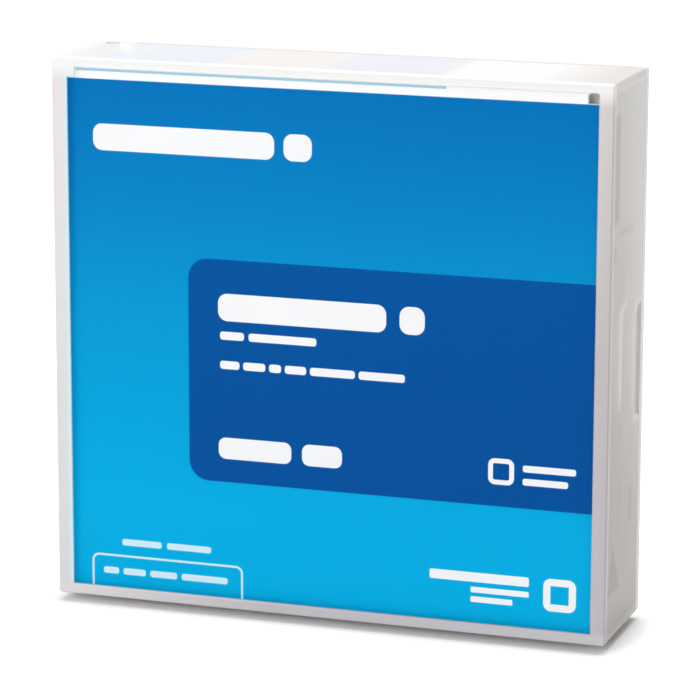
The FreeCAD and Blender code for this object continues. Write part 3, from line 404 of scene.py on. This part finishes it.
def paint_front_shading(g, x, z, height):
    """Painted light and shade on the milky frame around the front's clear field: darker at the right and at
    the bottom, lighter high up, a painted blue glow of the card beside its left edge, and the grey tab
    beside its top, whose grey is partly painted shade.
    """
    # Painted shade on the left: lighter high up.
    left = g.ramp(height, [(0.0, rgb(209, 210, 214)), (0.5, rgb(217, 217, 215)), (1.0, rgb(227, 219, 219))])
    # Painted blue glow of the card beside its left edge.
    beside_card = g.above(x, card_low.x - 0.35 * MM, 0.3 * MM)
    left = g.blend(g.times(beside_card, 0.8), left, rgb(206, 230, 236))
    # Painted shade on the right: darker than the left, lighter high up.
    right = g.ramp(height, [(0.0, rgb(186, 181, 186)), (0.5, rgb(188, 182, 182)), (1.0, rgb(209, 204, 202))])
    # Painted shade along the bottom, below the card.
    foot_stops = [(0.0, rgb(224, 216, 217)), (0.4, rgb(192, 187, 191)), (1.0, rgb(197, 195, 199))]
    foot = g.ramp(share_across(g, x), foot_stops)
    colour = g.blend(g.above(x, 0.0, 20 * MM), left, right)
    colour = g.blend(g.below(z, card_low.z + 0.3 * MM, 0.5 * MM), colour, foot)
    # Painted light along the top.
    colour = g.blend(g.above(z, card_high.z - 1.0 * MM, 1.5 * MM), colour, rgb(240, 240, 239))
    # The tab's grey-blue, partly painted shade.
    beside_strip = g.between(x, card_high.x - SHOULDER_RIGHT, card_high.x - 0.2 * MM)
    tab = g.times(beside_strip, g.between(z, CARD_SHOULDER + 0.05 * MM, card_high.z))
    return g.blend(tab, colour, rgb(206, 212, 232))


def near_edges(g, across, y, z):
    """1 near the case's outer edges, where the light meets a wall's thickness.

    It counts the faces of the case that a point is near: one on a face, two or more at an edge.
    """
    distances = (
        g.math("SUBTRACT", lid_high.x, across),
        g.math("SUBTRACT", y, lid_low.y),
        g.math("SUBTRACT", lid_high.z, z),
        z,
        g.math("SUBTRACT", lid_high.y, y),
    )
    crowd = 0.0
    for distance in distances:
        crowd = g.math("ADD", crowd, g.below(distance, 1.7 * MM, 0.9 * MM))
    return g.above(crowd, 1.5, 0.4)


def over_card(g, x, z, field):
    """1 where a skin of the front wall is clear: the card's outline with its narrower upper part."""
    left, right, low, shoulder, upper_left, upper_right, high, soft = field
    lower = g.times(g.between(x, left, right, soft), g.between(z, low, shoulder, soft))
    upper = g.times(g.between(x, upper_left, upper_right, soft), g.between(z, low, high, soft))
    return g.math("MAXIMUM", lower, upper)


def cartridge_painted_shade(g, colour, x, y, z):
    """Faint painted shades on the right side, where the dark cartridge lies nearest to the milky wall."""
    side = g.above(x, lid_high.x - SKIN_REACH)
    middle, low, high, slope_back, slope_front = CORNER_PAINTED_SHADE
    slope = g.math(
        "MAXIMUM",
        g.math("MULTIPLY", g.math("SUBTRACT", y, middle), slope_back),
        g.math("MULTIPLY", g.math("SUBTRACT", middle, y), slope_front),
    )
    roof = g.math("ADD", z, slope)
    corner = g.times(g.above(z, low, 0.5 * MM), g.below(roof, high, 0.8 * MM))
    hints = g.times(corner, CORNER_SHADE_STRENGTH)
    for patch, strength in CARTRIDGE_PAINTED_SHADES:
        hints = g.math("MAXIMUM", hints, g.times(side_patch(g, y, z, patch), strength))
    return g.blend(g.times(side, hints), colour, rgb(150, 144, 148))


def card_print(name):
    """A coated card, white but for the blue field on its front, which lightens downwards."""
    g = Graph(name)
    _, y, z = g.position()
    height = CARD_SHOULDER - card_low.z
    rise = g.math("DIVIDE", g.math("SUBTRACT", z, card_low.z), height)
    field = g.ramp(
        rise,
        [
            (0.0, rgb(1, 177, 230)),
            (0.18, rgb(1, 175, 229)),
            (0.37, rgb(0, 165, 221)),
            (0.56, rgb(2, 155, 213)),
            (0.76, rgb(2, 136, 202)),
            (0.92, rgb(0, 122, 193)),
            (1.0, rgb(0, 116, 188)),
        ],
    )
    fibres = g.noise(0.6 * MM, detail=3.0)
    paper = g.blend(fibres, rgb(251, 251, 250), rgb(255, 255, 255))
    front = g.below(y, card_low.y + 0.02 * MM, 0.01 * MM)
    printed = g.times(front, g.below(z, CARD_SHOULDER))
    colour = g.blend(printed, paper, field)
    gloss = g.blend(printed, 0.55, 0.32)
    normal = g.bump(fibres, 0.004 * MM)
    return g.finish(g.principled(colour, gloss, normal, Specular_IOR_Level=CARD_GLOSS))


def ink(name, colour, mottle=0.03):
    """Printing ink on coated card, with a faint mottle."""
    g = Graph(name)
    spots = g.noise(0.4 * MM, detail=2.0)
    darker = tuple(channel * (1 - mottle) for channel in colour[:3]) + (1.0,)
    shade = g.blend(spots, darker, colour)
    return g.finish(g.principled(shade, g.spread(spots, 0.3, 0.36), Specular_IOR_Level=CARD_GLOSS))


def panel_ink(name, low, high):
    """The dark field's ink, which turns a little lighter downwards."""
    g = Graph(name)
    z = g.position()[2]
    rise = g.math("DIVIDE", g.math("SUBTRACT", z, low), high - low)
    colour = g.ramp(rise, [(0.0, rgb(1, 81, 157)), (1.0, rgb(0, 85, 161))])
    spots = g.noise(0.4 * MM, detail=2.0)
    return g.finish(g.principled(colour, g.spread(spots, 0.3, 0.36), Specular_IOR_Level=CARD_GLOSS))


def tape_film(name):
    """Dark coated film: its wound edge shows fine turns and wider tension bands."""
    g = Graph(name)
    x, _, z = g.position()
    up = g.math("SUBTRACT", z, REEL_Z)
    squares = g.math("ADD", g.math("MULTIPLY", x, x), g.math("MULTIPLY", up, up))
    radius = g.math("SQRT", squares)
    turns = g.node("TexNoise", {"noise_dimensions": "1D"}, W=radius)
    turns.inputs["Scale"].default_value = 1 / (0.25 * MM)
    turns.inputs["Detail"].default_value = 4.0
    bands = g.node("TexNoise", {"noise_dimensions": "1D"}, W=radius)
    bands.inputs["Scale"].default_value = 1 / (6 * MM)
    shade = g.blend(bands.outputs["Fac"], rgb(38, 33, 31), rgb(62, 54, 50))
    gloss = g.spread(turns.outputs["Fac"], 0.18, 0.4)
    return g.finish(g.principled(shade, gloss, g.bump(turns.outputs["Fac"], 0.02 * MM)))


def chip_board(name):
    """A small green board with a copper loop aerial and a dark chip under its lacquer."""
    g = Graph(name)
    low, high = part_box("memory_chip")
    x, _, z = g.position()
    off_x = g.math("ABSOLUTE", g.math("SUBTRACT", x, (low.x + high.x) / 2))
    off_z = g.math("ABSOLUTE", g.math("SUBTRACT", z, (low.z + high.z) / 2))
    square = g.math("MAXIMUM", off_x, off_z)
    loops = g.math("PINGPONG", square, 0.3 * MM)
    copper = g.times(g.above(loops, 0.15 * MM, 0.02 * MM), g.between(square, 2.4 * MM, 4.5 * MM))
    chip = g.below(square, 1.2 * MM)
    colour = g.blend(copper, rgb(20, 84, 52), rgb(170, 120, 66))
    colour = g.blend(chip, colour, rgb(28, 28, 30))
    weave = g.noise(0.3 * MM)
    return g.finish(g.principled(colour, g.spread(weave, 0.25, 0.4), g.bump(weave, 0.005 * MM)))


SLOT_MATERIALS = {
    "milky_case": frosted_walls("case_milky", window=False),
    "clear_case": frosted_walls("case_clear_front", window=True),
    "printed_card": card_print("card_print"),
    "dark_shell": moulded("shell_dark", rgb(34, 35, 38), 0.5, grain=0.3 * MM, depth=0.02 * MM),
    "screw_steel": steel("screw_steel", rgb(184, 182, 178), 0.34),
    "door_plastic": moulded("door_dark", rgb(46, 47, 50), 0.38, grain=0.5 * MM),
    "spring_steel": steel("spring_steel", rgb(176, 174, 172), 0.22),
    "pin_steel": steel("pin_steel", rgb(206, 204, 200), 0.18, along=(1, 0.08, 1)),
    "clip_steel": steel("clip_steel", rgb(170, 166, 160), 0.3),
    "tab_plastic": moulded("tab_red", rgb(176, 30, 34), 0.36, tint=0.08),
    "chip_board": chip_board("chip_board"),
    "hub_plastic": moulded("hub_grey", rgb(206, 207, 205), 0.42, tint=0.03),
    "flange_plastic": moulded("flange_natural", rgb(214, 212, 204), 0.36, tint=0.04),
    "tape_film": tape_film("tape_film"),
    "plate_steel": steel("plate_steel", rgb(190, 188, 184), 0.26, along=(1, 0.1, 1)),
    "brake_plastic": moulded("brake_white", rgb(226, 226, 222), 0.4, tint=0.03),
    "pad_plastic": moulded("pad_blue_grey", rgb(120, 136, 152), 0.4, tint=0.05),
}


def dress_nodes():
    """Gives each CAD node the material of its slot in the record."""
    slots = {entry["node"]: entry["material_slot"] for entry in frame["record"]["subparts"]}
    for name, item in frame["nodes"].items():
        item.data.materials.clear()
        item.data.materials.append(SLOT_MATERIALS[slots[name]])


# ---------------------------------------------------------------- print on the card


def rounded_outline(left, right, low, high, radius, steps=10):
    """Corners of a rounded rectangle, anticlockwise. The radius may be a number, or four of them."""
    radii = radius if isinstance(radius, tuple) else (radius,) * 4
    centres = (
        (right, low, -1, 1, -90),
        (right, high, -1, -1, 0),
        (left, high, 1, -1, 90),
        (left, low, 1, 1, 180),
    )
    points = []
    for (x, z, inwards_x, inwards_z, start), corner in zip(centres, radii):
        if corner <= 0:
            points.append((x, z))
            continue
        for step in range(steps + 1):
            angle = math.radians(start + 90 * step / steps)
            centre_x, centre_z = x + inwards_x * corner, z + inwards_z * corner
            points.append((centre_x + corner * math.cos(angle), centre_z + corner * math.sin(angle)))
    return points


def flat_solid(vertices, faces, outlines, place):
    """Adds one thin closed solid between two layers. The place function makes a point from (a, b, layer)."""
    outer, inner = outlines if len(outlines) == 2 else (outlines[0], None)
    count = len(outer)
    start = len(vertices)
    for outline in outlines:
        for layer in (0, 1):
            vertices.extend(place(a, b, layer) for a, b in outline)
    for index in range(count):
        after = (index + 1) % count
        faces.append((start + index, start + after, start + count + after, start + count + index))
        if inner is not None:
            hole = start + 2 * count
            faces.append((hole + after, hole + index, hole + count + index, hole + count + after))
            faces.append((start + after, start + index, hole + index, hole + after))
            faces.append(
                (start + count + index, start + count + after, hole + count + after, hole + count + index)
            )
    if inner is None:
        faces.append(tuple(start + index for index in reversed(range(count))))
        faces.append(tuple(start + count + index for index in range(count)))


def print_piece(name, material, shapes, layer):
    """One printed colour: flat shapes on the card's face, given in mm from the case's middle and floor."""
    back = card_low.y - layer * INK
    front = back - INK

    def place(a, b, side):
        return Vector((a * MM, front if side else back, b * MM))

    vertices, faces = [], []
    for outlines in shapes:
        flat_solid(vertices, faces, outlines, place)
    made_piece(name, vertices, faces, material, "insert_card")


def made_piece(name, vertices, faces, material, node):
    """A mesh piece that rides with a CAD node's body and takes its finish slot."""
    mesh = bpy.data.meshes.new(name)
    mesh.from_pydata([tuple(v) for v in vertices], [], faces)
    mesh.validate()
    mesh.update()
    mesh.materials.append(material)
    item = bpy.data.objects.new(name, mesh)
    bpy.context.scene.collection.objects.link(item)
    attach(item, body_of(node))
    return item


def body_of(node):
    """The body that a CAD node belongs to."""
    bodies = frame["record"]["behaviour"]["bodies"]
    return next(body for body, members in bodies.items() if node in members)


def bar(left, right, low, high, radius=None):
    """A printed bar with rounded ends."""
    if radius is None:
        radius = 0.7 * (high - low) / 2
    return [rounded_outline(left, right, low, high, radius, 8)]


def row_of_bars(left, low, high, widths, gap):
    """A line of bars, one after the other."""
    made = []
    start = left
    for width in widths:
        made.append(bar(start, start + width, low, high))
        start += width + gap
    return made


def ring(left, right, low, high, radius, stroke):
    """An outlined rounded rectangle."""
    outer = rounded_outline(left, right, low, high, radius)
    inner_radius = max(radius - stroke, 0.05)
    inner = rounded_outline(left + stroke, right - stroke, low + stroke, high - stroke, inner_radius)
    return [outer, inner]


def print_card():
    """The card's print: a dark field, plain white bars in the places of words, and an outlined tab."""
    right = card_high.x / MM
    low = card_low.z / MM
    panel_low, panel_high = 26.6, 73.1
    corner = 4.2
    panel = [rounded_outline(-30.05, right, panel_low, panel_high, (0, 0, corner, corner), 12)]
    field = panel_ink("ink_dark_blue", panel_low * MM, panel_high * MM)
    print_piece("print_dark_field", field, [panel], 0)
    white = ink("ink_white", rgb(250, 250, 250), mottle=0.02)
    headline = [bar(-50.6, -11.4, 94.1, 99.6), bar(-9.4, -3.4, 94.1, 99.6)]
    print_piece("print_headline", white, headline, 1)
    title = [bar(-23.6, 12.4, 60.4, 66.1), bar(15.2, 20.5, 60.4, 66.1)]
    lines = row_of_bars(-23.2, 56.5, 58.2, (5.2, 14.6), 1.0)
    lines += row_of_bars(-23.2, 50.4, 52.1, (4.2, 4.8, 2.6, 4.6, 9.6, 9.8), 0.8)
    capacity = [bar(-23.6, -7.8, 31.5, 36.0), bar(-5.5, 3.1, 31.5, 36.0)]
    print_piece("print_title_lines", white, title + lines + capacity, 1)
    badge = [ring(34.0, 39.4, 31.1, 36.5, 1.4, 1.0)]
    notes = row_of_bars(41.2, 34.1, 35.5, (11.0,), 1.0) + row_of_bars(41.2, 31.4, 32.8, (9.4,), 1.0)
    print_piece("print_badge", white, badge + notes, 1)
    pale = ink("ink_pale_cyan", rgb(214, 240, 250), mottle=0.02)
    tab = rounded_outline(-52.0, -18.4, low, 8.9, (0, 1.6, 1.6, 0))
    inner = rounded_outline(-51.55, -18.85, low, 8.45, (0, 1.2, 1.2, 0))
    small = row_of_bars(-45.2, 11.0, 12.4, (8.8, 9.8), 1.2)
    small += row_of_bars(-49.4, 4.7, 6.1, (3.4, 5.0, 6.0, 10.2), 1.0)
    print_piece("print_tab_outline", pale, [[tab, inner]] + small, 1)
    mark = [
        bar(21.9, 42.8, 10.4, 12.4, 0.4),
        bar(30.6, 42.8, 8.2, 9.4, 0.3),
        bar(30.6, 39.4, 6.2, 7.4, 0.3),
        ring(45.8, 52.6, 5.8, 12.6, 1.6, 1.5),
    ]
    print_piece("print_plain_mark", white, mark, 1)


def print_crease():
    """The pale blue line along the card's fold."""
    blue = ink("ink_pale_blue", rgb(172, 210, 228), mottle=0.04)
    high = card_high.z / MM
    line = bar(-54.2, 24.6, high - 0.56, high - 0.04, 0.1)
    print_piece("print_crease_line", blue, [line], 1)


def print_flap():
    """Pale fields on the card's flap, which show through the case's top wall."""
    level = card_high.z
    front = card_low.y + 1.2 * MM
    back = card_high.y - 1.0 * MM
    fields = (
        ("lavender_left", -49.0, -26.0, rgb(200, 214, 248)),
        ("cream", -21.5, -2.5, rgb(254, 238, 212)),
        ("lavender_right", 0.0, 20.8, rgb(204, 216, 242)),
    )
    for label, left, right, colour in fields:
        vertices, faces = [], []

        def place(a, b, side):
            return Vector((a, b, level + INK if side else level))

        outline = rounded_outline(left * MM, right * MM, front, back, 1.0 * MM, 8)
        flat_solid(vertices, faces, [outline], place)
        made_piece("flap_field_" + label, vertices, faces, ink("ink_" + label, colour), "insert_card")


# ---------------------------------------------------------------- springs


def wound_spring(node, along, turns, wire):
    """A smooth wound wire in the place of a spring's solid.

    The joint presses one end along the axis, and the travel's sign says which: positive for the low end.
    """
    low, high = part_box(node)
    length = (high - low).dot(along)
    reach = (high.x - low.x) / SPRING_BOX_SHARE
    radius = reach - wire
    outwards = Vector((1, 0, 0))
    sideways = along.cross(outwards)
    start = (low + high) / 2 - along * (length / 2)
    start.x = high.x - reach
    rise = (length - 2 * wire) / (2 * math.pi * turns)
    vertices, faces = [], []
    for step in range(turns * WIRE_STEPS + 1):
        turn = 2 * math.pi * step / WIRE_STEPS
        away = outwards * math.cos(turn) + sideways * math.sin(turn)
        heading = (sideways * math.cos(turn) - outwards * math.sin(turn)) * radius + along * rise
        across = heading.normalized().cross(away)
        centre = start + away * radius + along * (wire + rise * turn)
        for side in range(WIRE_SIDES):
            angle = 2 * math.pi * side / WIRE_SIDES
            vertices.append(centre + (away * math.cos(angle) + across * math.sin(angle)) * wire)
    last = turns * WIRE_STEPS * WIRE_SIDES
    faces.append(tuple(reversed(range(WIRE_SIDES))))
    faces.append(tuple(last + side for side in range(WIRE_SIDES)))
    for first in range(0, last, WIRE_SIDES):
        after = first + WIRE_SIDES
        for side in range(WIRE_SIDES):
            beside = (side + 1) % WIRE_SIDES
            faces.append((first + side, first + beside, after + beside, after + side))
    item = made_piece(node + "_wire", vertices, faces, SLOT_MATERIALS["spring_steel"], node)
    for polygon in item.data.polygons:
        polygon.use_smooth = len(polygon.vertices) == 4
    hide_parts(node)
    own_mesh(item)


def wind_springs():
    """The door's and the brake's spring. Each is held at one end, and its joint presses the other."""
    wound_spring("door_spring", Vector((0, 0, 1)), 8, 0.2 * MM)
    wound_spring("brake_spring", Vector((0, 1, 0)), 4, 0.4 * MM)


# ---------------------------------------------------------------- camera, light and floor


def add_camera():
    """The camera of the photograph."""
    target = Vector(
        (CAMERA_TARGET_ACROSS, lid_low.y, (lid_low.z + lid_high.z) / 2 + CAMERA_TARGET_ABOVE_MIDDLE)
    )
    azimuth = math.radians(CAMERA_AZIMUTH)
    elevation = math.radians(CAMERA_ELEVATION)
    towards = Vector(
        (
            math.sin(azimuth) * math.cos(elevation),
            -math.cos(azimuth) * math.cos(elevation),
            math.sin(elevation),
        )
    )
    data = bpy.data.cameras.new("camera")
    data.sensor_fit = "HORIZONTAL"
    data.angle = math.radians(CAMERA_VIEW_ANGLE)
    item = bpy.data.objects.new("camera", data)
    bpy.context.scene.collection.objects.link(item)
    turn = towards.to_track_quat("Z", "Y").to_matrix().to_4x4()
    roll = Matrix.Rotation(math.radians(CAMERA_ROLL), 4, "Z")
    item.matrix_world = Matrix.Translation(target + towards * CAMERA_DISTANCE) @ turn @ roll
    bpy.context.scene.camera = item


def add_area(name, place, target, size, power):
    """A soft square lamp that faces a target."""
    data = bpy.data.lights.new(name, "AREA")
    data.shape = "SQUARE"
    data.size = size
    data.energy = power
    item = bpy.data.objects.new(name, data)
    bpy.context.scene.collection.objects.link(item)
    away = Vector(place) - Vector(target)
    item.matrix_world = Matrix.Translation(place) @ away.to_track_quat("Z", "Y").to_matrix().to_4x4()


def seen_share(tree):
    """1 for rays that the camera, a gloss or a clear wall sends."""
    path = tree.nodes.new("ShaderNodeLightPath")
    result = path.outputs["Is Camera Ray"]
    for name in ("Is Glossy Ray", "Is Transmission Ray"):
        made = tree.nodes.new("ShaderNodeMath")
        made.operation = "MAXIMUM"
        tree.links.new(result, made.inputs[0])
        tree.links.new(path.outputs[name], made.inputs[1])
        result = made.outputs[0]
    return result


def add_world():
    """Even soft light, with a white backdrop where it is seen."""
    world = bpy.data.worlds.new("studio")
    world.use_nodes = True
    tree = world.node_tree
    tree.nodes.clear()
    light = tree.nodes.new("ShaderNodeBackground")
    light.inputs["Color"].default_value = WHITE
    light.inputs["Strength"].default_value = WORLD_LIGHT
    seen = tree.nodes.new("ShaderNodeBackground")
    seen.inputs["Color"].default_value = WHITE
    seen.inputs["Strength"].default_value = 1.0
    mix = tree.nodes.new("ShaderNodeMixShader")
    output = tree.nodes.new("ShaderNodeOutputWorld")
    tree.links.new(seen_share(tree), mix.inputs[0])
    tree.links.new(light.outputs[0], mix.inputs[1])
    tree.links.new(seen.outputs[0], mix.inputs[2])
    tree.links.new(mix.outputs[0], output.inputs["Surface"])
    bpy.context.scene.world = world


def add_floor():
    """A white studio floor that keeps the soft shadow. Away from the case it glows up to white."""
    g = Graph("floor_paper")
    fibres = g.noise(4 * MM, detail=2.0)
    tone = g.blend(fibres, (0.78, 0.78, 0.78, 1.0), (0.8, 0.8, 0.8, 1.0))
    plain = g.node("BsdfDiffuse", Color=tone).outputs[0]
    dim = g.node("BsdfDiffuse", Color=(0.96, 0.96, 0.96, 1.0)).outputs[0]
    x, y, _ = g.position()
    beside = g.math("SUBTRACT", g.math("ABSOLUTE", x), lid_high.x)
    before = g.math("SUBTRACT", g.math("ABSOLUTE", y), lid_high.y)
    away = g.math("MAXIMUM", beside, before)
    strength = g.spread(g.above(away, SHADOW_REACH / 2, SHADOW_REACH / 2), 0.0, FLOOR_GLOW)
    glow = g.node("Emission", Color=WHITE, Strength=strength).outputs[0]
    bright = g.node("AddShader", _0=dim, _1=glow).outputs[0]
    material = g.finish(g.node("MixShader", _0=seen_share(g.tree), _1=plain, _2=bright).outputs[0])
    half = FLOOR_HALF
    level = tray_low.z - FLOOR_GAP
    corners = [(-half, -half, level), (half, -half, level), (half, half, level), (-half, half, level)]
    mesh = bpy.data.meshes.new("floor")
    mesh.from_pydata(corners, [], [(0, 1, 2, 3)])
    mesh.materials.append(material)
    item = bpy.data.objects.new("floor", mesh)
    bpy.context.scene.collection.objects.link(item)


def add_light():
    """One large soft lamp above and to the left of the front, and a weaker one over the top."""
    middle = (0.0, 0.0, REEL_Z)
    add_area("key", (-0.75, -1.25, 0.8), middle, 0.9, 12.6)
    add_area("top", (0.05, 0.15, 1.3), middle, 0.8, 9.8)


dress_nodes()
print_card()
print_crease()
print_flap()
wind_springs()
add_camera()
add_world()
add_floor()
add_light()
bpy.context.scene.view_settings.view_transform = "Standard"
